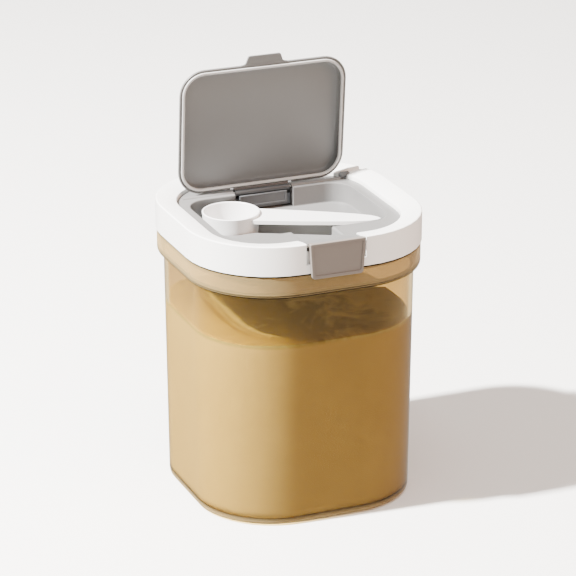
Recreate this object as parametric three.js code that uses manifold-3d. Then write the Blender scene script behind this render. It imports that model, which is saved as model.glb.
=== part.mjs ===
// Dry food storage container: a clear amber jar with a rounded square plan, filled with powder.
// Its white lid carries a grey scoop compartment with a scoop in it, a flip lid standing open over
// the compartment, and a swinging clip at the front that holds the lid to the jar's collar.
// Millimetres, +Z up, front towards -Y, origin at the centre of the underside.

import * as THREE from "three";
import { mergeVertices } from "three/addons/utils/BufferGeometryUtils.js";
import Module from "manifold-3d";

const wasm = await Module();
wasm.setup();

// Driving dimensions of the jar
const GAP = 0.3;                  // clearance between neighbouring pieces
const DEPTH_EXTRA = 0.5;          // the plan is this much deeper than wide, each way
const CORNER_STEPS = 10;          // facets in each rounded corner
const BASE_HALF = 68.95;          // half width at the foot
const WALL_TOP_HALF = 70.7;       // half width just under the collar
const COLLAR_HALF = 74.4;
const NECK_HALF = 70.9;
const WALL = 2.4;
const FLOOR = 3;
const COLLAR_BOTTOM = 149.2;
const COLLAR_TOP = 164;
const NECK_TOP = 171.5;
const POWDER_LEVEL = 118;

// Driving dimensions of the white lid ring
const RING_HALF = 75;
const RING_CORNER = 53.4;
const RING_BOTTOM = 164.3;
const RING_TOP = 182.9;
const RIM_INNER_HALF = 61.2;
const RIM_INNER_DEPTH = 60.6;
const RIM_INNER_CORNER = 36;
const RIM_INNER_TOP = 180.4;
const LEDGE_WIDTH = 4.4;          // ledge under the compartment's shelf

// Driving dimensions of the scoop compartment
const SHELF_TOP = 177.8;
const SHELF_THICK = 2.8;
const MOUTH_HALF_X = 53.6;
const MOUTH_HALF_Y = 37.8;
const MOUTH_CORNER = 14;
const TRAY_FLOOR = 165;
const TRAY_WALL = 2.2;
const POCKET_FLOOR = 150.2;
const POCKET_WALL = 1.6;
const BAR_RADIUS = 1.7;           // raised bar that holds the hinge pin
const BAR_END = 53.2;
const PIN_ROOM_FRONT = 41.2;      // groove for the pin across the ring's right-hand rim
const PIN_ROOM_BACK = 47.4;
const HINGE_NOTCH_HALF = 19.6;
const FINGER_HALF = 13;           // sloping recess for a finger under the flip lid's tab
const FINGER_LOW = 170.6;
const FINGER_FRONT = -54.5;
const TONGUE_HALF = 18.7;         // ramp that fills the ring's notch behind the clip
const TONGUE_FRONT = -71.9;

// Driving dimensions of the flip lid, stated as it lies shut
const HINGE_Y = 42.65;
const HINGE_Z = 177.25;
const OPEN_ANGLE = 85.3;          // degrees from shut to the open pose that is modelled
const LID_HALF_X = 55.3;
const LID_HALF_Y = 40.9;
const LID_REAR = 40.7;
const LID_CORNER = 16;
const LID_UNDERSIDE = 178.8;
const LID_TOP = 184.7;
const BARREL_HALF = 18.2;
const BARREL_RADIUS = 2;
const PIN_RADIUS = 0.8;
const BORE_RADIUS = 1.1;

// Driving dimensions of the scoop
const SCOOP_X = -29.9;
const SCOOP_Y = 19.4;
const SCOOP_TURN = -27.5;         // degrees, direction of the handle
const SCOOP_RIM = 174.8;
const SCOOP_FOOT = 152;
const SCOOP_RIM_RADIUS = 18;
const SCOOP_FOOT_RADIUS = 16.1;
const SCOOP_WALL = 1.4;
const HANDLE_TOP = 172.9;
const HANDLE_SKIRT = 2.6;
const HANDLE_LENGTH = 92.5;        // from the bowl's axis to the tip

// Driving dimensions of the front clip
const CLIP_FRONT = -78.2;
const CLIP_THICK = 2.5;
const CLIP_TOP = 183.3;
const CLIP_BOTTOM = 161;
const CLIP_TOP_HALF = 17.9;
const CLIP_BOTTOM_HALF = 16.6;
const CLIP_PIVOT_Y = -73.8;
const CLIP_PIVOT_Z = 181;
const CLIP_NOTCH_HALF = 19.3;

// Closed mesh to solid and back
function solidOf(geometry) {
  const bare = geometry.clone();
  bare.deleteAttribute("normal");
  bare.deleteAttribute("uv");
  const merged = mergeVertices(bare, 1e-5);
  return new wasm.Manifold(new wasm.Mesh({
    numProp: 3,
    vertProperties: Float32Array.from(merged.attributes.position.array),
    triVerts: Uint32Array.from(merged.index.array),
  }));
}

function geometryOf(solid) {
  const mesh = solid.getMesh();
  const geometry = new THREE.BufferGeometry();
  geometry.setAttribute("position", new THREE.BufferAttribute(mesh.vertProperties, 3));
  geometry.setIndex(new THREE.BufferAttribute(mesh.triVerts, 1));
  geometry.computeVertexNormals();
  return geometry;
}

function join(...geometries) {
  return geometryOf(geometries.map(solidOf).reduce((all, one) => all.add(one)));
}

function cut(geometry, ...tools) {
  return geometryOf(tools.map(solidOf).reduce((all, one) => all.subtract(one), solidOf(geometry)));
}

function common(first, second) {
  return geometryOf(solidOf(first).intersect(solidOf(second)));
}

// Rounded rectangle seen from above, counter-clockwise
function outline(halfX, halfY, corner) {
  const points = [];
  const centres = [[1, 1], [-1, 1], [-1, -1], [1, -1]];
  centres.forEach(([sideX, sideY], quarter) => {
    for (let step = 0; step <= CORNER_STEPS; step += 1) {
      const angle = (quarter + step / CORNER_STEPS) * Math.PI / 2;
      points.push(new THREE.Vector2(
        sideX * (halfX - corner) + corner * Math.cos(angle),
        sideY * (halfY - corner) + corner * Math.sin(angle),
      ));
    }
  });
  return points;
}

function atHeight(points, z) {
  return points.map((point) => new THREE.Vector3(point.x, point.y, z));
}

// Skin over stacked outlines, either closed by a cap at each end or joined end to end
function skin(sections, endToEnd) {
  const count = sections[0].length;
  const positions = sections.flat().flatMap((point) => point.toArray());
  const index = [];
  const spans = endToEnd ? sections.length : sections.length - 1;
  for (let level = 0; level < spans; level += 1) {
    const low = level * count;
    const high = ((level + 1) % sections.length) * count;
    for (let step = 0; step < count; step += 1) {
      const next = (step + 1) % count;
      index.push(low + step, low + next, high + next, low + step, high + next, high + step);
    }
  }
  if (!endToEnd) {
    const flatEnd = (section) => section.map((point) => new THREE.Vector2(point.x, point.y));
    const last = (sections.length - 1) * count;
    for (const [a, b, c] of THREE.ShapeUtils.triangulateShape(flatEnd(sections[0]), [])) {
      index.push(a, c, b);
    }
    for (const [a, b, c] of THREE.ShapeUtils.triangulateShape(flatEnd(sections.at(-1)), [])) {
      index.push(last + a, last + b, last + c);
    }
  }
  const geometry = new THREE.BufferGeometry();
  geometry.setAttribute("position", new THREE.Float32BufferAttribute(positions, 3));
  geometry.setIndex(index);
  geometry.computeVertexNormals();
  return geometry;
}

// Extrusions along the three axes
function placed(geometry, alongX, alongY, alongZ, shift) {
  const matrix = new THREE.Matrix4().makeBasis(alongX, alongY, alongZ).setPosition(shift);
  return geometry.applyMatrix4(matrix);
}

const X = new THREE.Vector3(1, 0, 0);
const Y = new THREE.Vector3(0, 1, 0);
const Z = new THREE.Vector3(0, 0, 1);

// Outline in plan, between two heights
function upright(points, bottom, top) {
  const geometry = new THREE.ExtrudeGeometry(new THREE.Shape(points), { depth: top - bottom, bevelEnabled: false });
  return geometry.translate(0, 0, bottom);
}

// Outline in side view (y, z), between two places along X
function across(shape, left, right) {
  const geometry = new THREE.ExtrudeGeometry(shape, { depth: right - left, bevelEnabled: false, curveSegments: 12 });
  return placed(geometry, Y, Z, X, new THREE.Vector3(left, 0, 0));
}

function box(x0, x1, y0, y1, z0, z1) {
  const geometry = new THREE.BoxGeometry(x1 - x0, y1 - y0, z1 - z0);
  return geometry.translate((x0 + x1) / 2, (y0 + y1) / 2, (z0 + z1) / 2);
}

function disc(y, z, radius) {
  return new THREE.Shape().absarc(y, z, radius, 0, Math.PI * 2);
}

function polygon(corners) {
  return new THREE.Shape(corners.map(([a, b]) => new THREE.Vector2(a, b)));
}

// Section of the jar or the ring: half width at the middle of a side, and height
function jarOutline(half, z) {
  const corner = half - 20.4;
  return atHeight(outline(half, half + DEPTH_EXTRA, corner), z);
}

function ringOutline(half, z) {
  const corner = RING_CORNER - (RING_HALF - half);
  return atHeight(outline(half, half + DEPTH_EXTRA, corner), z);
}

// Inner face of the jar's wall at a height, below the collar
function innerHalf(z) {
  return BASE_HALF - WALL + (WALL_TOP_HALF - BASE_HALF) * z / COLLAR_BOTTOM;
}

function jarGeometry() {
  const foot = [
    [BASE_HALF - 2.2, 0], [BASE_HALF - 0.9, 0.4], [BASE_HALF - 0.2, 1.3], [BASE_HALF, 2.6],
    [WALL_TOP_HALF, COLLAR_BOTTOM],
  ];
  const collar = [
    [COLLAR_HALF - 1.6, COLLAR_BOTTOM + 0.3], [COLLAR_HALF - 0.5, COLLAR_BOTTOM + 1],
    [COLLAR_HALF, COLLAR_BOTTOM + 2.4], [COLLAR_HALF, COLLAR_TOP - 0.4], [COLLAR_HALF - 0.4, COLLAR_TOP],
    [NECK_HALF, COLLAR_TOP], [NECK_HALF, NECK_TOP - 0.5], [NECK_HALF - 0.5, NECK_TOP],
    [NECK_HALF - WALL, NECK_TOP], [NECK_HALF - WALL, COLLAR_TOP + 1.6], [COLLAR_HALF - 2.6, COLLAR_TOP - 2.4],
    [COLLAR_HALF - 2.6, COLLAR_BOTTOM + 4.2], [COLLAR_HALF - 3.3, COLLAR_BOTTOM + 3],
    [COLLAR_HALF - 4.8, COLLAR_BOTTOM + 2.2],
  ];
  const inside = [
    [innerHalf(COLLAR_BOTTOM), COLLAR_BOTTOM + 1.6], [innerHalf(FLOOR) + 0.05, FLOOR + 4],
    [innerHalf(FLOOR) - 0.9, FLOOR + 1.4], [innerHalf(FLOOR) - 2.6, FLOOR + 0.3], [innerHalf(FLOOR) - 4.4, FLOOR],
  ];
  return skin([
    ...foot.map(([half, z]) => jarOutline(half, z)),
    ...collar.map(([half, z]) => ringOutline(half, z)),
    ...inside.map(([half, z]) => jarOutline(half, z)),
  ], false);
}

// Powder up to its level, with low uneven mounds on top
function powderRise(x, y) {
  return 0.7 * Math.sin(x / 15 + 0.6) * Math.cos(y / 12 - 0.4) + 0.35 * Math.sin(x / 6.5 - y / 9);
}

function powderGeometry() {
  const edge = (z) => innerHalf(z) - GAP;
  const sections = [
    jarOutline(edge(FLOOR) - 4.4, FLOOR + GAP), jarOutline(edge(FLOOR) - 2.6, FLOOR + GAP + 0.3),
    jarOutline(edge(FLOOR) - 0.9, FLOOR + GAP + 1.4), jarOutline(edge(FLOOR), FLOOR + GAP + 4),
    jarOutline(edge(POWDER_LEVEL), POWDER_LEVEL),
  ];
  const rings = 9;
  for (let ring = 1; ring < rings; ring += 1) {
    const scale = 1 - ring / rings;
    const blend = Math.min(1, ring / 2);
    const inner = jarOutline(edge(POWDER_LEVEL), POWDER_LEVEL).map((point) => {
      const x = point.x * scale;
      const y = point.y * scale;
      return new THREE.Vector3(x, y, POWDER_LEVEL + blend * powderRise(x, y));
    });
    sections.push(inner);
  }
  return skin(sections, false);
}

// White ring: skirt over the collar, sloping rim, ledge under the shelf and plug inside the neck
function rimInner(half, z) {
  const shrink = RIM_INNER_HALF - half;
  return atHeight(outline(half, RIM_INNER_DEPTH - shrink, RIM_INNER_CORNER - shrink), z);
}

function ringGeometry() {
  const shelfUnder = SHELF_TOP - SHELF_THICK;
  const ledgeTop = shelfUnder - GAP;
  const skirtInner = NECK_HALF + 0.4;
  const plugOuter = NECK_HALF - WALL - 0.5;
  const body = skin([
    ringOutline(RING_HALF, RING_BOTTOM), ringOutline(RING_HALF, RING_TOP - 0.9),
    ringOutline(RING_HALF - 0.15, RING_TOP - 0.4), ringOutline(RING_HALF - 0.5, RING_TOP - 0.1),
    ringOutline(RING_HALF - 1, RING_TOP), ringOutline(RING_HALF - 6.5, RING_TOP - 0.75),
    rimInner(RIM_INNER_HALF + 1.2, RIM_INNER_TOP + 0.2), rimInner(RIM_INNER_HALF + 0.3, RIM_INNER_TOP - 0.2),
    rimInner(RIM_INNER_HALF, RIM_INNER_TOP - 0.9), rimInner(RIM_INNER_HALF, ledgeTop),
    rimInner(RIM_INNER_HALF - LEDGE_WIDTH, ledgeTop), rimInner(RIM_INNER_HALF - LEDGE_WIDTH, ledgeTop - 2),
    rimInner(RIM_INNER_HALF + 2, ledgeTop - 2), rimInner(RIM_INNER_HALF + 2, ledgeTop + 3.2),
    ringOutline(plugOuter - 2.2, ledgeTop + 3.2), ringOutline(plugOuter - 2.2, RING_BOTTOM - 4.3),
    ringOutline(plugOuter, RING_BOTTOM - 4.3), ringOutline(plugOuter, NECK_TOP + 0.4),
    ringOutline(skirtInner, NECK_TOP + 0.4), ringOutline(skirtInner, RING_BOTTOM),
  ], true);
  const half = CLIP_NOTCH_HALF;
  const outside = -RING_HALF - 5;
  const clipPocket = box(-half, half, outside, -RING_HALF + 1.8, 169.8, RING_TOP + 5);
  const clipRoom = box(-half, half, outside, -RIM_INNER_DEPTH + 5, SHELF_TOP - GAP, RING_TOP + 5);
  const pivotBore = across(disc(CLIP_PIVOT_Y, CLIP_PIVOT_Z, BORE_RADIUS), -half - 1.4, half + 1.4);
  const floor = RIM_INNER_TOP - 1.1;
  const slope = (RING_TOP - RIM_INNER_TOP) / (RING_HALF - RIM_INNER_HALF);
  const pinGroove = placed(
    new THREE.ExtrudeGeometry(
      polygon([[50, floor - 10 * slope], [85, floor + 25 * slope], [85, 190], [50, 190]]),
      { depth: PIN_ROOM_BACK - PIN_ROOM_FRONT, bevelEnabled: false },
    ), X, Z, Y.clone().negate(), new THREE.Vector3(0, PIN_ROOM_BACK, 0),
  );
  const capPocket = box(45, 60.4, PIN_ROOM_FRONT, PIN_ROOM_BACK - 0.8, SHELF_TOP, RING_TOP);
  return cut(body, clipPocket, clipRoom, pivotBore, pinGroove, capPocket);
}

// Keyhole in plan: a round end for the scoop's bowl and a straight channel for its handle
function keyhole(radius, halfWidth, length) {
  const start = Math.asin(halfWidth / radius);
  const points = [];
  const steps = 24;
  for (let step = 0; step <= steps; step += 1) {
    const angle = start + (2 * Math.PI - 2 * start) * step / steps;
    points.push(new THREE.Vector2(radius * Math.cos(angle), radius * Math.sin(angle)));
  }
  points.push(new THREE.Vector2(length - 1, -halfWidth), new THREE.Vector2(length, 1 - halfWidth));
  points.push(new THREE.Vector2(length, halfWidth - 1), new THREE.Vector2(length - 1, halfWidth));
  const origin = new THREE.Vector2();
  const turn = THREE.MathUtils.degToRad(SCOOP_TURN);
  const move = new THREE.Vector2(SCOOP_X, SCOOP_Y);
  return points.map((point) => point.rotateAround(origin, turn).add(move));
}

// Grey scoop compartment: shelf, tub, keyhole pocket, hinge bar and the notch for the lid's barrel
function mouth(grow, z) {
  return atHeight(outline(MOUTH_HALF_X + grow, MOUTH_HALF_Y + grow, MOUTH_CORNER + grow), z);
}

function trayGeometry() {
  const shelfUnder = SHELF_TOP - SHELF_THICK;
  const shelfOutline = outline(RIM_INNER_HALF - GAP, RIM_INNER_DEPTH - GAP, RIM_INNER_CORNER - GAP);
  const shelf = upright(shelfOutline, shelfUnder, SHELF_TOP);
  const bar = across(disc(HINGE_Y, HINGE_Z, BAR_RADIUS), -BAR_END, BAR_END);
  const insideLedge = LEDGE_WIDTH + GAP;
  const pinHousing = common(
    upright(
      outline(RIM_INNER_HALF - insideLedge, RIM_INNER_DEPTH - insideLedge, RIM_INNER_CORNER - insideLedge),
      shelfUnder - 2, SHELF_TOP,
    ),
    box(-BAR_END, BAR_END, MOUTH_HALF_Y, PIN_ROOM_BACK, shelfUnder - 1, SHELF_TOP - 0.5),
  );
  const tongue = across(polygon([
    [-56, shelfUnder + 0.5], [-60, shelfUnder + 0.5], [-60, SHELF_TOP], [TONGUE_FRONT, SHELF_TOP + 0.4],
    [TONGUE_FRONT, 180.8], [TONGUE_FRONT + 0.4, 181.1], [-64, 180.3], [-61.5, 179.4], [-58.6, SHELF_TOP],
    [-56, SHELF_TOP],
  ]), -TONGUE_HALF, TONGUE_HALF);
  const tubBottom = TRAY_FLOOR - TRAY_WALL;
  const rampPlate = across(polygon([
    [-37.9, TRAY_FLOOR + 2], [-40, FINGER_LOW - 2.2], [FINGER_FRONT - 0.5, SHELF_TOP - 2.4],
    [FINGER_FRONT - 0.5, SHELF_TOP - 0.4], [-37.9, SHELF_TOP - 0.4],
  ]), -FINGER_HALF - 2, FINGER_HALF + 2);
  const tub = skin([
    mouth(TRAY_WALL - 1.5, tubBottom), mouth(TRAY_WALL - 0.4, tubBottom + 0.5), mouth(TRAY_WALL, tubBottom + 1.6),
    mouth(TRAY_WALL, SHELF_TOP - 0.5),
  ], false);
  const notchWall = box(
    -HINGE_NOTCH_HALF - TRAY_WALL, HINGE_NOTCH_HALF + TRAY_WALL, 30, PIN_ROOM_BACK, tubBottom, SHELF_TOP - 0.5,
  );
  const pocketWall = upright(
    keyhole(18.1 + POCKET_WALL, 11.8 + POCKET_WALL, 63.5 + POCKET_WALL),
    POCKET_FLOOR - POCKET_WALL, TRAY_FLOOR - 1,
  );
  const space = skin([
    mouth(-1, TRAY_FLOOR), mouth(-0.3, TRAY_FLOOR + 0.3), mouth(0, TRAY_FLOOR + 1),
    mouth(0.3, SHELF_TOP - 0.8), mouth(0.5, SHELF_TOP - 0.3), mouth(1.1, SHELF_TOP), mouth(1.1, SHELF_TOP + 3),
  ], false);
  const pocket = upright(keyhole(18.1, 11.8, 63.5), POCKET_FLOOR, TRAY_FLOOR + 1);
  const fingerShape = new THREE.Shape();
  fingerShape.moveTo(-FINGER_HALF, TRAY_FLOOR);
  fingerShape.lineTo(FINGER_HALF, TRAY_FLOOR);
  fingerShape.lineTo(FINGER_HALF, SHELF_TOP - 1.8);
  fingerShape.quadraticCurveTo(FINGER_HALF, SHELF_TOP, FINGER_HALF + 1.8, SHELF_TOP);
  fingerShape.lineTo(FINGER_HALF + 1.8, SHELF_TOP + 3);
  fingerShape.lineTo(-FINGER_HALF - 1.8, SHELF_TOP + 3);
  fingerShape.lineTo(-FINGER_HALF - 1.8, SHELF_TOP);
  fingerShape.quadraticCurveTo(-FINGER_HALF, SHELF_TOP, -FINGER_HALF, SHELF_TOP - 1.8);
  const fingerSlope = across(polygon([
    [-30, FINGER_LOW], [-39, FINGER_LOW], [-42, FINGER_LOW + 0.7], [FINGER_FRONT, SHELF_TOP],
    [FINGER_FRONT, SHELF_TOP + 5], [-30, SHELF_TOP + 5],
  ]), -FINGER_HALF - 5, FINGER_HALF + 5);
  const fingerRecess = common(facing(fingerShape, -60, -30, 0), fingerSlope);
  const half = HINGE_NOTCH_HALF;
  const notch = box(-half, half, 30, HINGE_Y + 3.6, TRAY_FLOOR, SHELF_TOP + 5);
  const pinBore = across(disc(HINGE_Y, HINGE_Z, BORE_RADIUS), -half - 5, BAR_END + 1);
  return cut(
    join(shelf, tongue, bar, pinHousing, tub, rampPlate, notchWall, pocketWall),
    space, pocket, fingerRecess, notch, pinBore,
  );
}

// Cover plate that closes the hinge notch in front of the barrel
function hingeCoverGeometry() {
  const front = 40;
  const section = polygon([
    [front + 0.5, 168], [44.4, 168], [44.4, 173.9], [front + 0.9, 173.9], [front + 0.9, 175.6],
    [front + 0.5, 175.9], [front, 175.4], [front, 168.5],
  ]);
  const back = polygon([[42.2, 166], [44.6, 166], [44.6, 173], [42.2, 173]]);
  const panel = box(-14.6, 14.6, 30, front + 0.4, 169.3, 174.9);
  return cut(join(across(section, -15.9, 15.9), across(back, -19.2, 19.2)), panel);
}

// Flip lid as it lies shut, then moved so that the hinge's axis is at the origin
function lidOutline(inset, z) {
  const shape = outline(LID_HALF_X - inset, LID_HALF_Y - inset, LID_CORNER - inset);
  return atHeight(shape, z).map((point) => point.setY(point.y + LID_REAR - LID_HALF_Y));
}

function toHinge(geometry) {
  return geometry.translate(0, -HINGE_Y, -HINGE_Z);
}

function flipLidGeometry() {
  const under = LID_UNDERSIDE;
  const plate = skin([
    lidOutline(6.4, under + 4.3), lidOutline(4.6, under + 3.9), lidOutline(3.8, under + 2.9),
    lidOutline(3.4, under + 1.1), lidOutline(1.2, under + 1.1), lidOutline(1.2, under),
    lidOutline(0.3, under), lidOutline(0, under + 0.4), lidOutline(0, under + 1), lidOutline(0.3, under + 1.4),
    lidOutline(1.8, under + 1.9), lidOutline(3, under + 3.4), lidOutline(4.6, under + 4.7),
    lidOutline(7.5, under + 5.4), lidOutline(14, LID_TOP), lidOutline(15.5, LID_TOP),
  ], false);
  const front = LID_REAR - 2 * LID_HALF_Y;
  const tabShape = new THREE.Shape();
  tabShape.moveTo(-15, front + 1);
  tabShape.lineTo(-15, front);
  tabShape.quadraticCurveTo(-12.6, front, -12, front - 1.6);
  tabShape.lineTo(-11, front - 4.4);
  tabShape.quadraticCurveTo(-10.7, front - 5.6, -9.4, front - 5.6);
  tabShape.lineTo(9.4, front - 5.6);
  tabShape.quadraticCurveTo(10.7, front - 5.6, 11, front - 4.4);
  tabShape.lineTo(12, front - 1.6);
  tabShape.quadraticCurveTo(12.6, front, 15, front);
  tabShape.lineTo(15, front + 1);
  const tab = upright(tabShape.getPoints(4), under + 0.1, under + 1.3);
  const web = polygon([
    [LID_REAR - 1.1, under + 1.3], [LID_REAR - 1.1, under + 0.1], [LID_REAR - 0.4, under - 0.2],
    [HINGE_Y - 1.2, HINGE_Z + 0.6], [HINGE_Y + 1.3, HINGE_Z + 1.1], [LID_REAR + 0.9, under + 0.8],
    [LID_REAR - 0.4, under + 1.6],
  ]);
  const barrel = join(
    across(disc(HINGE_Y, HINGE_Z, BARREL_RADIUS), -BARREL_HALF, BARREL_HALF),
    across(web, -BARREL_HALF, BARREL_HALF),
  );
  const bore = across(disc(HINGE_Y, HINGE_Z, BORE_RADIUS), -BARREL_HALF - 1, BARREL_HALF + 1);
  const reliefs = [-1, 1].map((side) => {
    const inner = side * BARREL_HALF;
    const outer = side * (BARREL_HALF + 2.6);
    return box(Math.min(inner, outer), Math.max(inner, outer), LID_REAR - 1.1, LID_REAR + 1, 170, 190);
  });
  return toHinge(cut(join(cut(plate, ...reliefs), tab, barrel), bore));
}

function gasketGeometry() {
  const under = LID_UNDERSIDE;
  const bead = skin([
    lidOutline(1.6, under - 0.25), lidOutline(1.6, under + 0.8), lidOutline(3.4, under + 0.8),
    lidOutline(3.4, under - 0.25), lidOutline(3, under - 0.7), lidOutline(2, under - 0.7),
  ], true);
  return toHinge(bead);
}

function hingePinGeometry() {
  return across(disc(HINGE_Y, HINGE_Z, PIN_RADIUS), -HINGE_NOTCH_HALF - 4.5, BAR_END - 0.5);
}

function pinCapGeometry() {
  const section = polygon([
    [42, SHELF_TOP + GAP], [45.9, SHELF_TOP + GAP], [45.9, 181.2], [42.5, 181.2], [42, 180.7],
  ]);
  return across(section, BAR_END + GAP, 60);
}

// Scoop: tapered round bowl and a flat hollow handle
function handleOutline(shrink) {
  const sides = [[12, 11.4], [20, 11], [44, 10], [62, 8.6], [76, 7], [86, 4.9], [90.4, 2.6]];
  const near = sides.map(([along, half]) => [Math.min(along, HANDLE_LENGTH - shrink), half - shrink]);
  const tip = [[HANDLE_LENGTH - shrink, 0]];
  const far = near.map(([along, half]) => [along, -half]).reverse();
  return [...far.reverse(), ...tip, ...near.reverse()]
    .filter(([, half], index, all) => index === 0 || half > all[index - 1][1] - 1e-9)
    .map(([along, half]) => new THREE.Vector2(along, half));
}

function scoopGeometry() {
  const rim = SCOOP_RIM_RADIUS;
  const foot = SCOOP_FOOT_RADIUS;
  const lathe = (profile) => {
    const points = profile.map(([radius, z]) => new THREE.Vector2(radius, z));
    return new THREE.LatheGeometry(points, 44).rotateX(Math.PI / 2);
  };
  const outer = lathe([
    [0, SCOOP_FOOT], [foot - 1.6, SCOOP_FOOT], [foot - 0.4, SCOOP_FOOT + 0.5], [foot, SCOOP_FOOT + 1.7],
    [rim - 0.1, SCOOP_RIM - 0.8], [rim, SCOOP_RIM - 0.3], [rim - 0.4, SCOOP_RIM], [0, SCOOP_RIM],
  ]);
  const inner = lathe([
    [0, SCOOP_FOOT + 1.5], [foot - 3.4, SCOOP_FOOT + 1.5], [foot - 2, SCOOP_FOOT + 2.2],
    [foot - SCOOP_WALL, SCOOP_FOOT + 3.8], [rim - SCOOP_WALL, SCOOP_RIM - 0.5],
    [rim - SCOOP_WALL + 0.4, SCOOP_RIM], [rim - SCOOP_WALL + 0.4, SCOOP_RIM + 5], [0, SCOOP_RIM + 5],
  ]);
  const handle = cut(
    upright(handleOutline(0), HANDLE_TOP - HANDLE_SKIRT, HANDLE_TOP),
    upright(handleOutline(SCOOP_WALL), HANDLE_TOP - HANDLE_SKIRT - 1, HANDLE_TOP - SCOOP_WALL),
  );
  return cut(join(outer, handle), inner);
}

// Clip: tapered plate with a sunk panel, two ears on its pivot pin and a catch at its foot
function clipOutline(border) {
  const topHalf = CLIP_TOP_HALF - border;
  const bottomHalf = CLIP_BOTTOM_HALF - border;
  const top = CLIP_TOP - border;
  const bottom = CLIP_BOTTOM + border * 1.2;
  const small = Math.max(0.4, 0.8 - border / 3);
  const large = Math.max(0.8, 2.4 - border / 2);
  const shape = new THREE.Shape();
  shape.moveTo(-topHalf + small, top);
  shape.quadraticCurveTo(-topHalf, top, -topHalf, top - small);
  shape.lineTo(-bottomHalf, bottom + large);
  shape.quadraticCurveTo(-bottomHalf, bottom, -bottomHalf + large, bottom);
  shape.lineTo(bottomHalf - large, bottom);
  shape.quadraticCurveTo(bottomHalf, bottom, bottomHalf, bottom + large);
  shape.lineTo(topHalf, top - small);
  shape.quadraticCurveTo(topHalf, top, topHalf - small, top);
  return shape;
}

function facing(shape, front, back, bevel) {
  const options = { depth: back - front, bevelEnabled: false, curveSegments: 4 };
  if (bevel > 0) {
    Object.assign(options, {
      depth: back - front - 2 * bevel, bevelEnabled: true, bevelSize: bevel, bevelThickness: bevel,
      bevelOffset: -bevel, bevelSegments: 2,
    });
  }
  const geometry = new THREE.ExtrudeGeometry(shape, options);
  return placed(geometry, X, Z, Y.clone().negate(), new THREE.Vector3(0, back - bevel, 0));
}

function clipGeometry() {
  const back = CLIP_FRONT + CLIP_THICK;
  const plate = facing(clipOutline(0), CLIP_FRONT, back, 0.5);
  const panel = facing(clipOutline(1.7), CLIP_FRONT - 1, CLIP_FRONT + 0.5, 0);
  const ear = new THREE.Shape();
  ear.moveTo(back - 0.5, CLIP_PIVOT_Z + 1.6);
  ear.lineTo(CLIP_PIVOT_Y, CLIP_PIVOT_Z + 1.6);
  ear.absarc(CLIP_PIVOT_Y, CLIP_PIVOT_Z, 1.6, Math.PI / 2, -Math.PI / 2, true);
  ear.lineTo(back - 0.5, CLIP_PIVOT_Z - 1.6);
  const ears = [-1, 1].map((side) => across(ear, side * 16 - 1.4, side * 16 + 1.4));
  const catchBead = across(disc(back + 0.1, CLIP_BOTTOM + 1.6, 0.45), -8, 8);
  const bore = across(disc(CLIP_PIVOT_Y, CLIP_PIVOT_Z, BORE_RADIUS), -18, 18);
  return cut(join(plate, ...ears, catchBead), panel, bore);
}

function clipPinGeometry() {
  return across(disc(CLIP_PIVOT_Y, CLIP_PIVOT_Z, PIN_RADIUS), -CLIP_NOTCH_HALF - 1.1, CLIP_NOTCH_HALF + 1.1);
}

// Materials
function plastic(color, roughness, options = {}) {
  return new THREE.MeshStandardMaterial({ color, roughness, metalness: 0, ...options });
}

const whitePlastic = plastic(0xf1efec, 0.35);
const trayPlastic = plastic(0xd9d7d3, 0.4);
const greyPlastic = plastic(0x96918b, 0.4);
const taupePlastic = plastic(0x9c8e82, 0.4);
const silicone = plastic(0xdcd8d3, 0.55);
const amberPlastic = plastic(0xc79a5e, 0.12, { transparent: true, opacity: 0.35 });
const powderSurface = plastic(0xcfab6c, 0.95);
const steel = new THREE.MeshStandardMaterial({ color: 0x8b8986, roughness: 0.35, metalness: 1 });

function piece(name, geometry, material) {
  const mesh = new THREE.Mesh(geometry, material);
  mesh.name = name;
  return mesh;
}

const container = new THREE.Group();
container.add(
  piece("jar", jarGeometry(), amberPlastic),
  piece("powder", powderGeometry(), powderSurface),
  piece("lid_ring", ringGeometry(), whitePlastic),
  piece("tray", trayGeometry(), trayPlastic),
  piece("hinge_cover", hingeCoverGeometry(), greyPlastic),
  piece("hinge_pin", hingePinGeometry(), steel),
  piece("pin_cap", pinCapGeometry(), greyPlastic),
  piece("clip", clipGeometry(), taupePlastic),
  piece("clip_pin", clipPinGeometry(), steel),
);

const scoop = piece("scoop", scoopGeometry(), whitePlastic);
scoop.position.set(SCOOP_X, SCOOP_Y, 0);
scoop.rotation.z = THREE.MathUtils.degToRad(SCOOP_TURN);
container.add(scoop);

const hinge = new THREE.Group();
hinge.position.set(0, HINGE_Y, HINGE_Z);
hinge.rotation.x = THREE.MathUtils.degToRad(-OPEN_ANGLE);
hinge.add(piece("flip_lid", flipLidGeometry(), greyPlastic), piece("lid_gasket", gasketGeometry(), silicone));
container.add(hinge);

export default container;
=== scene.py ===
import math

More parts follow.
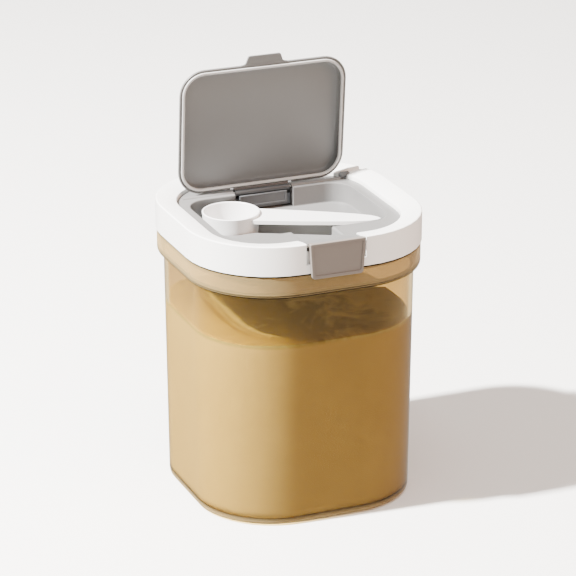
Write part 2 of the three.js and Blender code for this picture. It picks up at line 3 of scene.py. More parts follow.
import bmesh
import bpy
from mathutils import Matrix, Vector


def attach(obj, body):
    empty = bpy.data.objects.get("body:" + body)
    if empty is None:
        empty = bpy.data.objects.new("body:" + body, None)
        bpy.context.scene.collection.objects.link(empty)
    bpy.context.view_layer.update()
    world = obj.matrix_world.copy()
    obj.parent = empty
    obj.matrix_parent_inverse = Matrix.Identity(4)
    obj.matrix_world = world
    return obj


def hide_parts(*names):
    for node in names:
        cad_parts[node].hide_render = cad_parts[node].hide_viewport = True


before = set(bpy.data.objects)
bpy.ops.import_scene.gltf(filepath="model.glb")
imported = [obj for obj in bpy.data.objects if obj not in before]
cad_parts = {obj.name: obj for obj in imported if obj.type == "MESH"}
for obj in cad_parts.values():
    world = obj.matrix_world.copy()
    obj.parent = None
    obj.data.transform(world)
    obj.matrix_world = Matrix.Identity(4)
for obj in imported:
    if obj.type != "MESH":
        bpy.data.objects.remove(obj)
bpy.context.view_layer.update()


# THE JAR
# The real jar is one clear, amber-tinted SAN wall with a rounded square plan and a wider collar under the lid.
# It is injection moulded in one piece, so wall, foot and collar flow into each other with small radii.
CORNER_STEPS = 20        # rows of faces round each corner of the plan
MERGE_DISTANCE = 0.005   # millimetres, as every size below is unless its comment says otherwise


def mm(length):
    """Millimetres to Blender's metres."""
    return length / 1000


def open_piece(name):
    """A new, still empty piece, open in edit mode."""
    bpy.ops.object.select_all(action="DESELECT")
    bpy.ops.mesh.primitive_plane_add(size=mm(1), location=(0, 0, 0))
    piece = bpy.context.object
    piece.name = piece.data.name = name
    bpy.ops.object.mode_set(mode="EDIT")
    bpy.ops.mesh.select_all(action="SELECT")
    bpy.ops.mesh.delete(type="VERT")
    return piece


def draw_walls(rows, open_top=False):
    """Draws one rounded rectangle for each row, bridges each to the one before it, and closes both ends.

    A row is a half width, a half depth, a corner radius and a height. An open top leaves the last end open.
    """
    piece = bpy.context.object
    for number, (half_x, half_y, corner, height) in enumerate(rows, start=1):
        bpy.ops.mesh.select_mode(type="VERT")
        bpy.ops.mesh.select_all(action="DESELECT")
        middle = (0, 0, mm(height))
        bpy.ops.mesh.primitive_plane_add(size=2, location=middle)
        bpy.ops.transform.resize(value=(mm(half_x), mm(half_y), 1), center_override=middle)
        bpy.ops.mesh.bevel(offset=mm(corner), segments=CORNER_STEPS, affect="VERTICES")
        shape = bmesh.from_edit_mesh(piece.data)
        row = shape.verts.layers.int.get("row") or shape.verts.layers.int.new("row")
        for vert in shape.verts:
            if vert.select:
                vert[row] = number
        bpy.ops.mesh.delete(type="ONLY_FACE")
        if number > 1:
            select_rows(piece, number - 1, number)
            bpy.ops.mesh.bridge_edge_loops()
    for end in (1,) if open_top else (1, len(rows)):
        select_rows(piece, end)
        bpy.ops.mesh.edge_face_add()


def select_rows(piece, *numbers):
    """Selects the edges that run round the given rows, and nothing else."""
    bpy.ops.mesh.select_mode(type="EDGE")
    shape = bmesh.from_edit_mesh(piece.data)
    row = shape.verts.layers.int["row"]
    for edge in shape.edges:
        one, other = (vert[row] for vert in edge.verts)
        edge.select = one == other and one in numbers
    bmesh.update_edit_mesh(piece.data)


def close_piece(smooth_angle):
    """Merges doubles, turns all faces outwards, leaves edit mode and smooths edges shallower than the angle."""
    bpy.ops.mesh.select_mode(type="VERT")
    bpy.ops.mesh.select_all(action="SELECT")
    bpy.ops.mesh.remove_doubles(threshold=mm(MERGE_DISTANCE))
    bpy.ops.mesh.normals_make_consistent(inside=False)
    bpy.ops.mesh.select_all(action="DESELECT")
    bpy.ops.object.mode_set(mode="OBJECT")
    bpy.ops.object.shade_smooth_by_angle(angle=math.radians(smooth_angle))


def weight_normals(piece):
    """Makes the big flat faces shade flat, so that only the small roundings between them turn the light."""
    weighted = piece.modifiers.new("weighted", "WEIGHTED_NORMAL")
    weighted.keep_sharp = True
    bpy.ops.object.modifier_apply(modifier=weighted.name)


# Half of each width, measured over the wall. The depth is a little more than the width.
JAR_FOOT_HALF = 68.95
JAR_WALL_TOP_HALF = 70.7
COLLAR_HALF = 74.4
NECK_HALF = 70.9
DEPTH_EXTRA = 0.5
# Half of the straight stretch between two corners, which stays the same all the way up.
WALL_STRAIGHT_HALF = 20.4
COLLAR_STRAIGHT_HALF = 21.6
JAR_WALL = 2.4
JAR_FLOOR = 3
COLLAR_BOTTOM = 149.2
COLLAR_TOP = 164
NECK_TOP = 171.5


def jar_row(half, height):
    return half, half + DEPTH_EXTRA, half - WALL_STRAIGHT_HALF, height


def collar_row(half, height):
    return half, half + DEPTH_EXTRA, half - COLLAR_STRAIGHT_HALF, height


def jar_inner_half(height):
    """Half of the width inside the wall, which leans out a little towards the collar."""
    slope = (JAR_WALL_TOP_HALF - JAR_FOOT_HALF) / COLLAR_BOTTOM
    return JAR_FOOT_HALF - JAR_WALL + slope * height


# The section runs up the outside from the foot, over the neck, and down the inside to the floor.
foot = [jar_row(JAR_FOOT_HALF + out, height) for out, height in (
    (-2.6, 0), (-1.6, 0.15), (-0.75, 0.6), (-0.2, 1.4), (0, 2.6), (0.06, 6), (0.12, 11),
)]
wall_top = [jar_row(JAR_WALL_TOP_HALF + out, COLLAR_BOTTOM + up) for out, up in (
    (-0.11, -8), (-0.05, -3), (0.1, -0.4), (0.6, 0),
)]
collar_underside = [collar_row(COLLAR_HALF + out, COLLAR_BOTTOM + up) for out, up in (
    (-1.5, 0.2), (-0.5, 0.8), (-0.1, 1.7), (0, 2.8),
)]
collar_shoulder = [collar_row(COLLAR_HALF + out, COLLAR_TOP + up) for out, up in (
    (0, -0.6), (-0.15, -0.15), (-0.5, 0),
)]
neck_outside = [collar_row(NECK_HALF + out, height) for out, height in (
    (0.4, COLLAR_TOP + 0.05), (0, COLLAR_TOP + 0.4), (0, NECK_TOP - 0.5), (-0.5, NECK_TOP),
)]
neck_inside = [collar_row(NECK_HALF - JAR_WALL + out, height) for out, height in (
    (0.4, NECK_TOP - 0.05), (0, NECK_TOP - 0.5), (-0.01, COLLAR_TOP + 1.6),
)]
collar_ceiling = [collar_row(COLLAR_HALF + out, COLLAR_TOP + up) for out, up in (
    (-3.2, -1.4), (-2.6, -2.8),
)]
collar_floor = [collar_row(COLLAR_HALF + out, COLLAR_BOTTOM + up) for out, up in (
    (-2.6, 4.6), (-2.8, 3.7), (-3.5, 2.9), (-4.8, 2.3),
)]
wall_lip = [jar_row(jar_inner_half(COLLAR_BOTTOM) + out, COLLAR_BOTTOM + up) for out, up in (
    (0.5, 1.7), (0, 0.6),
)]
wall_inside = [jar_row(jar_inner_half(height), height) for height in (
    COLLAR_BOTTOM - 3, COLLAR_BOTTOM - 8, 14,
)]
floor_inside = [jar_row(jar_inner_half(JAR_FLOOR) + out, JAR_FLOOR + up) for out, up in (
    (0.05, 5), (-0.35, 2.6), (-1.4, 1), (-3, 0.2), (-5, 0),
)]

jar_shell = open_piece("jar_shell")
draw_walls(
    foot + wall_top + collar_underside + collar_shoulder + neck_outside
    + neck_inside + collar_ceiling + collar_floor + wall_lip + wall_inside + floor_inside
)
close_piece(smooth_angle=50)
weight_normals(jar_shell)


def shade(code):
    """sRGB hex to the linear colour that a shader takes."""
    parts = [int(code[start:start + 2], 16) / 255 for start in (1, 3, 5)]
    linear = [part / 12.92 if part <= 0.04045 else ((part + 0.055) / 1.055) ** 2.4 for part in parts]
    return tuple(linear) + (1,)


def add(material, kind, settings=None, inputs=None):
    """Adds one node with its settings. An input is a value, or the output socket that feeds it."""
    node = material.node_tree.nodes.new(kind)
    for name, value in (settings or {}).items():
        setattr(node, name, value)
    for name, value in (inputs or {}).items():
        if isinstance(value, bpy.types.NodeSocket):
            material.node_tree.links.new(value, node.inputs[name])
        else:
            node.inputs[name].default_value = value
    return node


def new_material(name):
    """A material with no nodes in it yet."""
    material = bpy.data.materials.new(name)
    material.use_nodes = True
    material.node_tree.nodes.clear()
    return material


def finish_material(material, shader, *pieces):
    """Ends the material in this shader, and puts it on the pieces as their only material."""
    add(material, "ShaderNodeOutputMaterial", inputs={"Surface": shader.outputs[0]})
    for piece in pieces:
        piece.data.materials.clear()
        piece.data.materials.append(material)


# Amber SAN, injection moulded and polished: you see through it, it glints, and it is darker where it is thick.
# It is faintly hazy, so the lit side of the empty part still shows. Lamp light passes through with the same tint.
AMBER_FLOW = 40                                            # size of the faint streaks in the plastic
COLLAR_FADE = (COLLAR_BOTTOM + 1.8, COLLAR_BOTTOM + 3)     # where the wall's look becomes the collar's
# The two bands where a thin dark line is painted on the collar: painted shade.
PAINTED_LINE_LOW = (COLLAR_BOTTOM + 2, COLLAR_BOTTOM + 1.2)
PAINTED_SHADOW_LINE_HIGH = (COLLAR_TOP - 1.4, COLLAR_TOP - 0.7)
THICK_BASE = (2, 5)                                        # where the foot's solid plastic ends
# The last share makes the painted dark lines nearly opaque: painted shade.
WALL_HAZE, BASE_HAZE, COLLAR_HAZE, PAINTED_LINE_HAZE = 0.006, 0.26, 0.2, 0.9      # share of the skin that is haze

amber = new_material("amber_san_polished")
spot = add(amber, "ShaderNodeTexCoord").outputs["Object"]
flow = add(amber, "ShaderNodeTexNoise", inputs={"Vector": spot, "Scale": 1 / mm(AMBER_FLOW), "Detail": 2.0})
height = add(amber, "ShaderNodeSeparateXYZ", inputs={"Vector": spot})
in_collar = add(amber, "ShaderNodeMapRange", inputs={
    "Value": height.outputs["Z"], "From Min": mm(COLLAR_FADE[0]), "From Max": mm(COLLAR_FADE[1]),
})
wall_tint = add(amber, "ShaderNodeMix", {"data_type": "RGBA"}, {
    "Factor": flow.outputs["Fac"], "A": shade("#E4CA8F"), "B": shade("#E8CF97"),
})
tint = add(amber, "ShaderNodeMix", {"data_type": "RGBA"}, {
    "Factor": in_collar.outputs["Result"], "A": wall_tint.outputs["Result"], "B": shade("#A8916A"),
})
# A thin dark line is painted along each of the collar's two edges. At the top it is painted shadow under the ring,
# and at the bottom it is painted shade where the edge is seen end on through solid plastic.
low_painted_line = add(amber, "ShaderNodeMapRange", inputs={
    "Value": height.outputs["Z"], "From Min": mm(PAINTED_LINE_LOW[0]), "From Max": mm(PAINTED_LINE_LOW[1]),
})
high_painted_line = add(amber, "ShaderNodeMapRange", inputs={
    "Value": height.outputs["Z"], "From Min": mm(PAINTED_SHADOW_LINE_HIGH[0]), "From Max": mm(PAINTED_SHADOW_LINE_HIGH[1]),
})
above_wall = add(amber, "ShaderNodeMath", {"operation": "GREATER_THAN"}, {
    0: height.outputs["Z"], 1: mm(COLLAR_BOTTOM - 0.2),
})
at_painted_line = add(amber, "ShaderNodeMath", {"operation": "MAXIMUM"}, {
    0: low_painted_line.outputs["Result"], 1: high_painted_line.outputs["Result"],
})
painted_line_share = add(amber, "ShaderNodeMath", {"operation": "MULTIPLY"}, {
    0: at_painted_line.outputs[0], 1: above_wall.outputs[0],
})
painted_line_tint = add(amber, "ShaderNodeMix", {"data_type": "RGBA"}, {
    "Factor": painted_line_share.outputs[0], "A": tint.outputs["Result"], "B": shade("#7A5A34"),
})
gloss = add(amber, "ShaderNodeMapRange", inputs={"Value": flow.outputs["Fac"], "To Min": 0.015, "To Max": 0.03})
# Solid SAN has an IOR of 1.57. A lower one matches the photograph, where the thin wall hardly bends the view.
clear = add(amber, "ShaderNodeBsdfPrincipled", inputs={
    "Base Color": painted_line_tint.outputs["Result"], "Roughness": gloss.outputs["Result"], "IOR": 1.36,
    "Transmission Weight": 1.0,
})
# The haze turns nearly black in the painted dark lines: painted shade.
haze_and_painted_line = add(amber, "ShaderNodeMix", {"data_type": "RGBA"}, {
    "Factor": painted_line_share.outputs[0], "A": shade("#EACF93"), "B": shade("#20160D"),
})
haze = add(amber, "ShaderNodeBsdfDiffuse", inputs={"Color": haze_and_painted_line.outputs["Result"], "Roughness": 0.5})
# The base and the collar are thicker than the wall, so the haze is denser there.
base_haze = add(amber, "ShaderNodeMapRange", inputs={
    "Value": height.outputs["Z"], "From Min": mm(THICK_BASE[0]), "From Max": mm(THICK_BASE[1]),
    "To Min": BASE_HAZE, "To Max": WALL_HAZE,
})
collar_haze = add(amber, "ShaderNodeMapRange", inputs={
    "Value": height.outputs["Z"], "From Min": mm(COLLAR_FADE[0]), "From Max": mm(COLLAR_FADE[1]),
    "To Min": WALL_HAZE, "To Max": COLLAR_HAZE,
})
thick_haze = add(amber, "ShaderNodeMath", {"operation": "MAXIMUM"}, {
    0: base_haze.outputs["Result"], 1: collar_haze.outputs["Result"],
})
painted_line_haze = add(amber, "ShaderNodeMath", {"operation": "MULTIPLY"}, {0: painted_line_share.outputs[0], 1: PAINTED_LINE_HAZE})
haze_share = add(amber, "ShaderNodeMath", {"operation": "MAXIMUM"}, {
    0: thick_haze.outputs[0], 1: painted_line_haze.outputs[0],
})
moulded = add(amber, "ShaderNodeMixShader", inputs={
    0: haze_share.outputs[0], 1: clear.outputs[0], 2: haze.outputs[0],
})
passing = add(amber, "ShaderNodeLightPath")
# A lamp's light crosses four skins at the collar and two at the wall, so each skin takes less from it there.
lamp_tint = add(amber, "ShaderNodeMix", {"data_type": "RGBA"}, {
    "Factor": in_collar.outputs["Result"], "A": shade("#E3D29C"), "B": shade("#F0E6C8"),
})
# Light that only skims the wall is mostly thrown back, so the lit side fades softly into the shaded one.
skim = add(amber, "ShaderNodeLayerWeight", inputs={"Blend": 0.5})
skim_loss = add(amber, "ShaderNodeMath", {"operation": "POWER"}, {0: skim.outputs["Facing"], 1: 3.0})
lamp_share = add(amber, "ShaderNodeMix", {"data_type": "RGBA"}, {
    "Factor": skim_loss.outputs[0], "A": lamp_tint.outputs["Result"], "B": shade("#000000"),
})
through = add(amber, "ShaderNodeBsdfTransparent", inputs={"Color": lamp_share.outputs["Result"]})
jar_skin = add(amber, "ShaderNodeMixShader", inputs={
    0: passing.outputs["Is Shadow Ray"], 1: moulded.outputs[0], 2: through.outputs[0],
})
finish_material(amber, jar_skin, jar_shell)
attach(jar_shell, "canister")
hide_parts("jar")


# THE POWDER
# A fine tan food powder, poured in and shaken level, so its top has low soft mounds.
# It touches the wall all round, so it reaches a little way into it here and no air gap shows.
POWDER_LEVEL = 118
POWDER_INTO_WALL = 0.15
TOP_RINGS = 22                                # rings of faces from the wall to the middle of the top
MOUNDS = ((34, 4.2), (11, 1.6), (4, 0.5))     # width and height of the mounds, large to small
MOUNDS_REACH = 66                             # from the middle to where the top lies calmest, along the wall
CALM_AT_WALL = 0.8                            # share of the mounds' height that is lost there


def powder_row(inset, height):
    return jar_row(jar_inner_half(height) + POWDER_INTO_WALL - inset, height)


powder_foot = [powder_row(inset, JAR_FLOOR + up) for inset, up in (
    (5, -0.1), (3, 0.1), (1.4, 0.9), (0.35, 2.5), (0, 5),
)]
powder_top = [powder_row(inset, POWDER_LEVEL + up) for inset, up in (
    (0, -1.6), (0, -0.5), (0.5, 0), (3, 0.1),
)]

powder_fill = open_piece("powder_fill")
draw_walls(powder_foot + powder_top, open_top=True)
bpy.ops.mesh.select_mode(type="EDGE")
open_shape = bmesh.from_edit_mesh(powder_fill.data)
for edge in open_shape.edges:
    edge.select = edge.is_boundary
bmesh.update_edit_mesh(powder_fill.data)
for ring in range(TOP_RINGS):
    bpy.ops.mesh.extrude_edges_move()
    share = 1 - 1 / (TOP_RINGS + 1 - ring)
    bpy.ops.transform.resize(value=(share, share, 1), center_override=(0, 0, mm(POWDER_LEVEL)))
bpy.ops.mesh.edge_face_add()
close_piece(smooth_angle=60)

top_faces = powder_fill.vertex_groups.new(name="top")
for vert in powder_fill.data.vertices:
    if vert.co.z > mm(POWDER_LEVEL - 1):
        reach = max(abs(vert.co.x), abs(vert.co.y)) / mm(MOUNDS_REACH)
        top_faces.add([vert.index], 1.0 - CALM_AT_WALL * min(1.0, reach) ** 4, "REPLACE")
for mound_width, mound_height in MOUNDS:
    mounds = bpy.data.textures.new(f"powder_mounds_{mound_width}", "CLOUDS")
    mounds.noise_scale = mm(mound_width)
    mounds.noise_depth = 1
    heap = powder_fill.modifiers.new("heap", "DISPLACE")
    heap.texture = mounds
    heap.texture_coords = "LOCAL"
    heap.direction = "Z"
    heap.vertex_group = "top"
    heap.strength = mm(mound_height)
    heap.mid_level = 0.5
    bpy.ops.object.modifier_apply(modifier=heap.name)

# Milled food powder, poured: matt, and pressed against the wall it shows fine darker flecks and paler clumps.
CLUMPS, GRAINS, LIT_DRIFTS = 14, 0.9, 30          # their sizes. Real grains are finer, and are drawn to show at all.
# Heights over which the top's painted shade fades in.
SHADED_TOP_BAND = (POWDER_LEVEL - 3.2, POWDER_LEVEL - 0.6)
# The paler drifts on the top are painted light.
LIT_DRIFTS_FROM_TO = (-50, 55)                    # from few drifts at the left to most at the right
LIT_DRIFT_GAIN = (-0.17, 0.3)                     # what that takes from or adds to the drifts' noise
LIT_DRIFT_EDGES = (0.54, 0.74)                    # noise values between which a drift fades in

powder = new_material("tan_milled_powder")
spot = add(powder, "ShaderNodeTexCoord").outputs["Object"]
clumps = add(powder, "ShaderNodeTexNoise", inputs={"Vector": spot, "Scale": 1 / mm(CLUMPS), "Detail": 3.0})
grains = add(powder, "ShaderNodeTexNoise", inputs={"Vector": spot, "Scale": 1 / mm(GRAINS), "Detail": 2.0})
clump_shade = add(powder, "ShaderNodeMix", {"data_type": "RGBA"}, {
    "Factor": clumps.outputs["Fac"], "A": shade("#9F9267"), "B": shade("#A5986D"),
})
# The top is painted browner than the powder against the wall: painted shade.
height = add(powder, "ShaderNodeSeparateXYZ", inputs={"Vector": spot})
shaded_top = add(powder, "ShaderNodeMapRange", inputs={
    "Value": height.outputs["Z"], "From Min": mm(SHADED_TOP_BAND[0]), "From Max": mm(SHADED_TOP_BAND[1]),
})
lit_drifts = add(powder, "ShaderNodeTexNoise", inputs={
    "Vector": spot, "Scale": 1 / mm(LIT_DRIFTS), "Detail": 5.0, "Roughness": 0.6, "Distortion": 0.8,
})
# The paler drifts are painted light on lumps that catch it, painted strongest on the right to lighten the top's
# shaded right side.
painted_light_right = add(powder, "ShaderNodeMapRange", inputs={
    "Value": height.outputs["X"], "From Min": mm(LIT_DRIFTS_FROM_TO[0]), "From Max": mm(LIT_DRIFTS_FROM_TO[1]),
    "To Min": LIT_DRIFT_GAIN[0], "To Max": LIT_DRIFT_GAIN[1],
})
lit_drift_height = add(powder, "ShaderNodeMath", {"operation": "ADD"}, {
    0: lit_drifts.outputs["Fac"], 1: painted_light_right.outputs["Result"],
})
lit_drift_edges = add(powder, "ShaderNodeMapRange", inputs={
    "Value": lit_drift_height.outputs[0], "From Min": LIT_DRIFT_EDGES[0], "From Max": LIT_DRIFT_EDGES[1],
})
painted_top_shade = add(powder, "ShaderNodeMix", {"data_type": "RGBA"}, {
    "Factor": lit_drift_edges.outputs["Result"], "A": shade("#7C7A50"), "B": shade("#B4B389"),
})
whole_shade = add(powder, "ShaderNodeMix", {"data_type": "RGBA"}, {
    "Factor": shaded_top.outputs["Result"], "A": clump_shade.outputs["Result"], "B": painted_top_shade.outputs["Result"],
})
flecked = add(powder, "ShaderNodeMix", {"data_type": "RGBA", "blend_type": "MULTIPLY"}, {
    "Factor": 0.12, "A": whole_shade.outputs["Result"], "B": grains.outputs["Color"],
})
bumps = add(powder, "ShaderNodeBump", inputs={
    "Height": grains.outputs["Fac"], "Strength": 0.25, "Distance": mm(0.3),
})
body = add(powder, "ShaderNodeBsdfPrincipled", inputs={
    "Base Color": flecked.outputs["Result"], "Roughness": 0.9, "Specular IOR Level": 0.2,
    "Normal": bumps.outputs["Normal"],
})
finish_material(powder, body, powder_fill)
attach(powder_fill, "canister")
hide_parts("powder")


# THE LID RING
# A white ABS ring, moulded in one piece, that pushes over the jar's neck. Its rim slopes down to the compartment
# inside it, and its front is notched for the clip.
FACET_MERGE = 0.002       # the CAD mesh's loose triangles meet within this
FLAT_ANGLE = 0.6          # degrees: triangles that meet flatter than this are one face
SHARP_ANGLE = 32          # degrees: edges sharper than this are rounded
SMOOTH_ANGLE = 40         # degrees: edges shallower than this are shaded smooth


def softened_copy(node, name, edge):
    """A merged copy of a CAD solid's mesh with its sharp edges rounded, as a mould leaves them."""
    piece = bpy.data.objects.new(name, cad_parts[node].data.copy())
    bpy.context.scene.collection.objects.link(piece)
    bpy.ops.object.select_all(action="DESELECT")
    piece.select_set(True)
    bpy.context.view_layer.objects.active = piece
    bpy.ops.mesh.customdata_custom_splitnormals_clear()
    bpy.ops.object.mode_set(mode="EDIT")
    bpy.ops.mesh.select_all(action="SELECT")
    bpy.ops.mesh.remove_doubles(threshold=mm(FACET_MERGE))
    bpy.ops.mesh.dissolve_limited(angle_limit=math.radians(FLAT_ANGLE))
    bpy.ops.object.mode_set(mode="OBJECT")
    rounding = piece.modifiers.new("rounding", "BEVEL")
    rounding.width = mm(edge)
    rounding.segments = 2
    rounding.limit_method = "ANGLE"
    rounding.angle_limit = math.radians(SHARP_ANGLE)
    bpy.ops.object.modifier_apply(modifier=rounding.name)
    bpy.ops.object.shade_smooth_by_angle(angle=math.radians(SMOOTH_ANGLE))
    weight_normals(piece)
    return piece


def moulded_plastic(name, pale, deep, roughness, cloud, *pieces):
    """Opaque moulded plastic: a faint cloudiness of the given size, and a fine satin grain from the mould."""
    material = new_material(name)
    spot = add(material, "ShaderNodeTexCoord").outputs["Object"]
    clouds = add(material, "ShaderNodeTexNoise", inputs={"Vector": spot, "Scale": 1 / mm(cloud), "Detail": 3.0})
    # The real grain is about 0.05 mm. It is drawn at 0.35 mm, so that it shows at all.
    grain = add(material, "ShaderNodeTexNoise", inputs={"Vector": spot, "Scale": 1 / mm(0.35), "Detail": 2.0})
    colour = add(material, "ShaderNodeMix", {"data_type": "RGBA"}, {
        "Factor": clouds.outputs["Fac"], "A": shade(deep), "B": shade(pale),
    })
    satin = add(material, "ShaderNodeMapRange", inputs={
        "Value": clouds.outputs["Fac"], "To Min": roughness - 0.05, "To Max": roughness + 0.05,
    })
    bumps = add(material, "ShaderNodeBump", inputs={
        "Height": grain.outputs["Fac"], "Strength": 0.06, "Distance": mm(0.05),
    })
    body = add(material, "ShaderNodeBsdfPrincipled", inputs={
        "Base Color": colour.outputs["Result"], "Roughness": satin.outputs["Result"], "IOR": 1.5,
        "Normal": bumps.outputs["Normal"],
    })
    finish_material(material, body, *pieces)
    return material, body


# White ABS with the mould's satin: it stays bright, with a soft gleam along the rim.
lid_ring_shell = softened_copy("lid_ring", "lid_ring_shell", edge=0.35)
moulded_plastic("white_abs_satin", "#F3F2F0", "#EFEDEA", 0.34, 45, lid_ring_shell)
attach(lid_ring_shell, "canister")
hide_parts("lid_ring")


# THE SCOOP COMPARTMENT
# One pale grey ABS moulding that drops into the ring. It has the shelf, the tub, the keyhole pocket for the scoop,
# the bar of the hinge and the finger recess behind the clip.
SHELF_TOP = 177.8
TUB_FLOOR = 165
PAINTED_POCKET_LIGHT_FADE = (TUB_FLOOR - 0.2, TUB_FLOOR - 1.6)
UNDER_SHELF = (SHELF_TOP - 0.3, SHELF_TOP - 1.1)
ABOVE_FLOOR = (TUB_FLOOR + 0.1, TUB_FLOOR + 0.9)
TOWARDS_LEFT = (5, -22)

# Pale grey ABS with the mould's satin: an even, quiet grey.
scoop_tray = softened_copy("tray", "scoop_tray", edge=0.3)
tray_plastic, tray_body = moulded_plastic("pale_grey_abs_satin", "#747372", "#6C6B6A", 0.38, 30, scoop_tray)
tray_grey = tray_body.inputs["Base Color"].links[0].from_socket
# The deep pocket is painted paler: painted light for the light that bounces in it, so it isn't black beside the
# scoop's handle.
spot = add(tray_plastic, "ShaderNodeTexCoord").outputs["Object"]
height = add(tray_plastic, "ShaderNodeSeparateXYZ", inputs={"Vector": spot})
pocket_painted_light = add(tray_plastic, "ShaderNodeMapRange", inputs={
    "Value": height.outputs["Z"], "From Min": mm(PAINTED_POCKET_LIGHT_FADE[0]), "From Max": mm(PAINTED_POCKET_LIGHT_FADE[1]),
})
pocket_lit_grey = add(tray_plastic, "ShaderNodeMix", {"data_type": "RGBA"}, {
    "Factor": pocket_painted_light.outputs["Result"], "A": tray_grey, "B": shade("#B8B7B5"),
})
# The tub's steep walls are painted darker on the left: painted shade, where they face away from the light.
under_shelf = add(tray_plastic, "ShaderNodeMapRange", inputs={
    "Value": height.outputs["Z"], "From Min": mm(UNDER_SHELF[0]), "From Max": mm(UNDER_SHELF[1]),
})
above_floor = add(tray_plastic, "ShaderNodeMapRange", inputs={
    "Value": height.outputs["Z"], "From Min": mm(ABOVE_FLOOR[0]), "From Max": mm(ABOVE_FLOOR[1]),
})
on_left = add(tray_plastic, "ShaderNodeMapRange", inputs={
    "Value": height.outputs["X"], "From Min": mm(TOWARDS_LEFT[0]), "From Max": mm(TOWARDS_LEFT[1]),
})
on_wall = add(tray_plastic, "ShaderNodeMath", {"operation": "MULTIPLY"}, {
    0: under_shelf.outputs["Result"], 1: above_floor.outputs["Result"],
})
painted_shade_share = add(tray_plastic, "ShaderNodeMath", {"operation": "MULTIPLY"}, {
    0: on_wall.outputs[0], 1: on_left.outputs["Result"],
})
painted_wall_shade = add(tray_plastic, "ShaderNodeMix", {"data_type": "RGBA"}, {
    "Factor": painted_shade_share.outputs[0], "A": pocket_lit_grey.outputs["Result"], "B": shade("#454544"),
})
tray_plastic.node_tree.links.new(painted_wall_shade.outputs["Result"], tray_body.inputs["Base Color"])
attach(scoop_tray, "canister")
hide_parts("tray")


# THE SCOOP
# A white measuring scoop with a tapered bowl and a flat hollow handle, moulded in one piece of polypropylene.
# It isn't fixed: it lies in the compartment's pocket.
measuring_scoop = softened_copy("scoop", "measuring_scoop", edge=0.3)
# White polypropylene: a little softer and less bright than the ring's ABS.
moulded_plastic("white_pp_satin", "#E6E5E4", "#E2E1E0", 0.36, 25, measuring_scoop)
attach(measuring_scoop, "canister")
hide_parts("scoop")


# THE HINGE
# A grey cover plate closes the notch in front of the lid's barrel, and a grey cap covers the end of the hinge pin.
# Both are moulded in ABS. The pins are steel wire, cut to length.
hinge_plate = softened_copy("hinge_cover", "hinge_plate", edge=0.2)
end_cap = softened_copy("pin_cap", "end_cap", edge=0.3)
# Mid grey ABS with the mould's satin: darker than the compartment, so the hinge stands out in it.
moulded_plastic("mid_grey_abs_satin", "#5B5E61", "#55585B", 0.4, 20, hinge_plate, end_cap)
for piece, node in ((hinge_plate, "hinge_cover"), (end_cap, "pin_cap")):
    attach(piece, "canister")
    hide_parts(node)


# THE FLIP LID
# A grey dished ABS cover on a barrel, with a tab to lift it by. It stands open over the compartment.
# A pale silicone bead runs round its underside.
BARREL_SHADE_FADE = (180.2, 179.6)        # heights with the lid open
HINGE_TO_TAB = (192, 255)
PAINTED_LIGHT_TO_TAB = (0.78, 1.22)   # times the lid's grey

# Warm grey ABS with the mould's satin: a broad soft gleam and no sharp reflections.
dished_lid = softened_copy("flip_lid", "dished_lid", edge=0.25)
lid_plastic, lid_body = moulded_plastic("warm_grey_abs_satin", "#646463", "#5E5E5D", 0.4, 30, dished_lid)
lid_grey = lid_body.inputs["Base Color"].links[0].from_socket
# The barrel along the lid's edge is painted darker: painted shade, as dark as the grey of the rest of the hinge.
spot = add(lid_plastic, "ShaderNodeTexCoord").outputs["Object"]
height = add(lid_plastic, "ShaderNodeSeparateXYZ", inputs={"Vector": spot})
barrel_painted_shade = add(lid_plastic, "ShaderNodeMapRange", inputs={
    "Value": height.outputs["Z"], "From Min": mm(BARREL_SHADE_FADE[0]), "From Max": mm(BARREL_SHADE_FADE[1]),
})
# The grey is painted paler towards the tab and darker beside the hinge: painted light and shade.
painted_light_towards_tab = add(lid_plastic, "ShaderNodeMapRange", inputs={
    "Value": height.outputs["Z"], "From Min": mm(HINGE_TO_TAB[0]), "From Max": mm(HINGE_TO_TAB[1]),
    "To Min": PAINTED_LIGHT_TO_TAB[0], "To Max": PAINTED_LIGHT_TO_TAB[1],
})
painted_cover_shade = add(lid_plastic, "ShaderNodeMix", {"data_type": "RGBA", "blend_type": "MULTIPLY"}, {
    "Factor": 1, "A": lid_grey, "B": painted_light_towards_tab.outputs["Result"],
})
lid_shade = add(lid_plastic, "ShaderNodeMix", {"data_type": "RGBA"}, {
    "Factor": barrel_painted_shade.outputs["Result"], "A": painted_cover_shade.outputs["Result"], "B": shade("#3D3F41"),
})
lid_plastic.node_tree.links.new(lid_shade.outputs["Result"], lid_body.inputs["Base Color"])
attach(dished_lid, "flip_lid")
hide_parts("flip_lid")

# Moulded silicone: matter than the plastics round it.
lid_bead = softened_copy("lid_gasket", "lid_bead", edge=0.2)
moulded_plastic("pale_silicone_moulded", "#B6B5B3", "#AFAEAC", 0.5, 18, lid_bead)
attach(lid_bead, "flip_lid")
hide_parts("lid_gasket")


# THE CLIP
# A taupe ABS catch that swings on a steel pin in the ring's notch and snaps under the jar's collar.
# It is moulded in one piece, and the pin is wire, cut to length.
front_clip = softened_copy("clip", "front_clip", edge=0.3)
# Taupe ABS with the mould's satin: browner than the greys, with pale lit edges.
moulded_plastic("taupe_abs_satin", "#78706A", "#716A64", 0.4, 22, front_clip)
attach(front_clip, "clip")
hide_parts("clip")

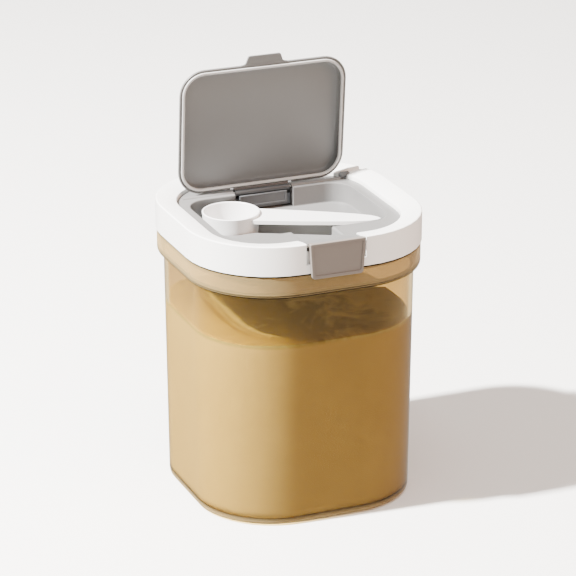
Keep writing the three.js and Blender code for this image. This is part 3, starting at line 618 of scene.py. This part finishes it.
# Drawn stainless wire: bright, with fine lines along its length.
steel = new_material("drawn_stainless_wire")
spot = add(steel, "ShaderNodeTexCoord").outputs["Object"]
along = add(steel, "ShaderNodeMapping", inputs={"Vector": spot, "Scale": (0.05, 1.0, 1.0)})
lines = add(steel, "ShaderNodeTexNoise", inputs={
    "Vector": along.outputs["Vector"], "Scale": 1 / mm(0.15), "Detail": 2.0,
})
worn = add(steel, "ShaderNodeMapRange", inputs={"Value": lines.outputs["Fac"], "To Min": 0.22, "To Max": 0.42})
body = add(steel, "ShaderNodeBsdfPrincipled", inputs={
    "Base Color": shade("#B9B6B1"), "Metallic": 1.0, "Roughness": worn.outputs["Result"],
})
finish_material(steel, body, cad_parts["hinge_pin"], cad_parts["clip_pin"])


# THE FLOOR, LIGHTS AND CAMERA
# A plain pale paper sweep. A small key light on the left draws the ring's shadow on the powder, a broad weak light
# hangs above, and a broad warm fill stands at the right. Places and sizes are in metres here, and powers in watts.
FLOOR_SIZE = 14
FLOOR_DROP = 0.0005        # keeps the floor clear of the jar's underside
AIM = (0, 0, 0.12)
FILL_AIM = (0, 0, 0.14)
STUDIO_COLOUR = (1.0, 0.93, 0.86, 1)
STUDIO_STRENGTH = 0.6
CAMERA_PLACE = (-0.6570, -1.5881, 0.7766)
CAMERA_AIM = (0.000066, 0, 0.1264)
CAMERA_SENSOR = 36         # millimetres, as the lens is
CAMERA_LENS = 185.44

bpy.ops.object.select_all(action="DESELECT")
bpy.ops.mesh.primitive_plane_add(size=FLOOR_SIZE, location=(0, 0, -FLOOR_DROP))
floor = bpy.context.object
floor.name = "floor"
# Matt white paper: it looks nearly white itself, but throws little light back on the pieces.
paper = new_material("white_paper_sweep")
seen = add(paper, "ShaderNodeLightPath")
paper_shade = add(paper, "ShaderNodeMix", {"data_type": "RGBA"}, {
    "Factor": seen.outputs["Is Camera Ray"], "A": shade("#979490"), "B": shade("#EFEEEC"),
})
body = add(paper, "ShaderNodeBsdfPrincipled", inputs={
    "Base Color": paper_shade.outputs["Result"], "Roughness": 0.9,
})
finish_material(paper, body, floor)
# The gloss of the pieces shows the soft studio round them and not the floor.
floor.visible_glossy = False


def turn_to(aim, place):
    """The rotation that points a light or a camera from its place to its aim."""
    return (Vector(aim) - Vector(place)).to_track_quat("-Z", "Y").to_euler()


def soft_light(name, place, aim, size, power, colour):
    bpy.ops.object.light_add(type="AREA", location=place)
    light = bpy.context.object
    light.name = name
    light.data.shape = "SQUARE"
    light.data.size = size
    light.data.energy = power
    light.data.color = shade(colour)[:3]
    light.visible_transmission = False
    light.rotation_euler = turn_to(aim, place)


soft_light("key_light", (-1.43, 0.0, 1.892), AIM, size=0.09, power=490, colour="#FFFDFA")
soft_light("top_light", (0.1, -0.6, 2.2), AIM, size=1.4, power=32, colour="#FFFFFF")
soft_light("fill_light", (1.55, -1.42, 1.2), FILL_AIM, size=1.2, power=34, colour="#FFBC8C")

world = bpy.data.worlds.new("studio")
bpy.context.scene.world = world
world.use_nodes = True
background = world.node_tree.nodes["Background"]
background.inputs["Color"].default_value = STUDIO_COLOUR
background.inputs["Strength"].default_value = STUDIO_STRENGTH

bpy.ops.object.camera_add(location=CAMERA_PLACE)
camera = bpy.context.object
camera.data.sensor_width = CAMERA_SENSOR
camera.data.lens = CAMERA_LENS
camera.rotation_euler = turn_to(CAMERA_AIM, CAMERA_PLACE)
bpy.context.scene.camera = camera
